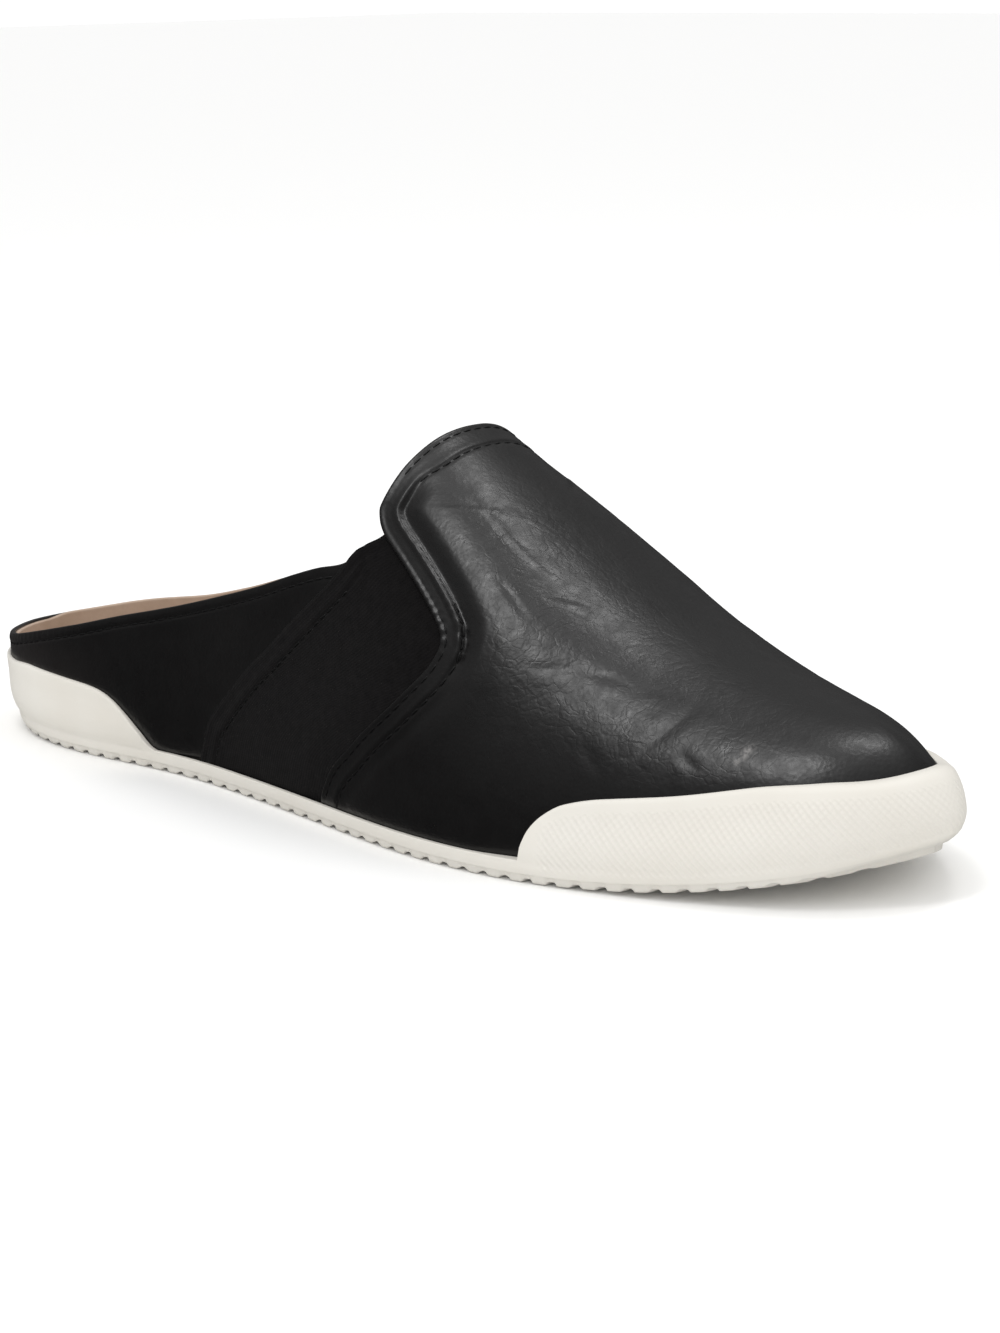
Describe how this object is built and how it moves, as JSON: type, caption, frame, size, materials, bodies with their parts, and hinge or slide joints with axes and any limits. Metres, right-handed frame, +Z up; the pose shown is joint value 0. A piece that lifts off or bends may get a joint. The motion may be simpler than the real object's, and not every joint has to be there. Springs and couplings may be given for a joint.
{
  "type": "sneaker mule",
  "caption": "Backless slip-on sneaker with a leather vamp, elastic gores at the sides, a low open heel and a moulded rubber sole with toe and heel bumpers.",
  "frame": {"origin": "middle of the footprint's box, on the floor that the sole stands on", "axes": "+X from heel to toe, +Z up, +Y to the inner (medial) side of a right shoe"},
  "size_m": [0.2706, 0.0898, 0.0816],
  "materials": {
    "black_leather": "semi-gloss, fine grain, soft creases",
    "black_elastic": "matt, fine rib",
    "tan_lining": "matt",
    "off_white_rubber": "matt, moulded"
  },
  "bodies": {
    "root": {"outsole": "off_white_rubber", "upper": "black_leather", "insole": "tan_lining"}
  },
  "joints": []
}
